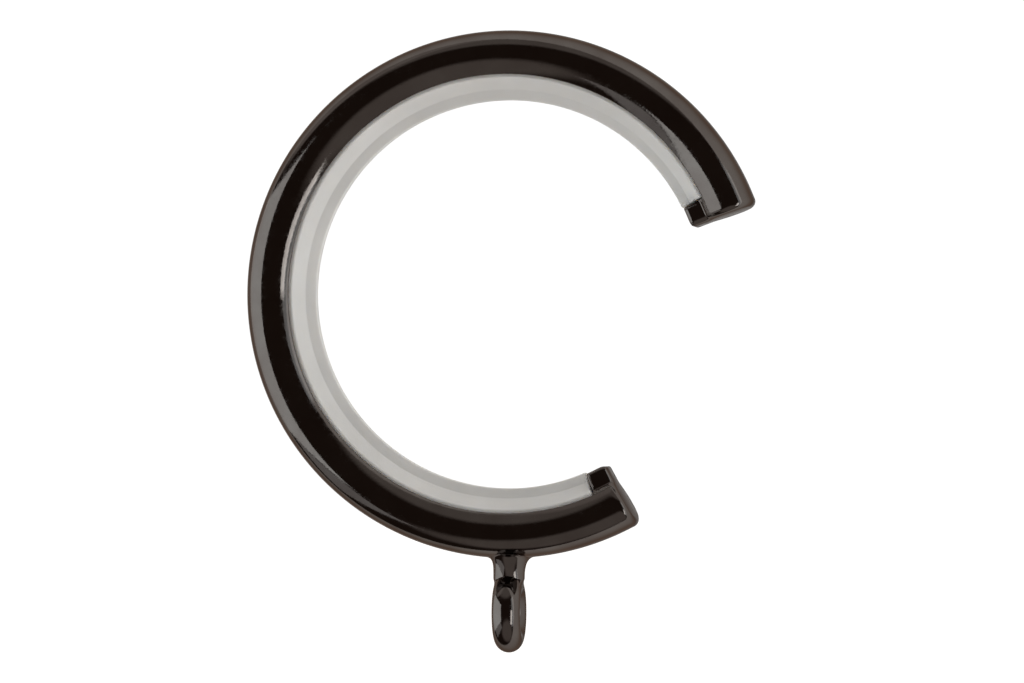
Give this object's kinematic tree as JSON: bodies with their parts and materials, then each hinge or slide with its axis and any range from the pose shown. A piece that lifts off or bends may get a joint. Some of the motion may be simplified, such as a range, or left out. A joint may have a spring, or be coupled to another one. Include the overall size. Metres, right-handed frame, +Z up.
{
  "type": "open curtain pole ring",
  "caption": "C-shaped curtain pole ring with a bracket gap at one side, a low-friction liner between end stops inside it, and a drop eye below for a curtain hook.",
  "frame": {"origin": "centre of the pole bore, halfway along the ring's width", "axes": "+Y along the pole, +Z up towards the top of the ring with the drop eye hanging along -Z, +X towards the bracket gap"},
  "size_m": [0.0515, 0.008, 0.0625],
  "materials": {
    "dark_plate": "polished dark nickel plate, mirror bright with a warm near-black tint",
    "liner_nylon": "milky off-white nylon, slightly translucent, satin"
  },
  "bodies": {
    "root": {"ring_body": "dark_plate", "liner": "liner_nylon", "drop_eye": "dark_plate"}
  },
  "joints": []
}
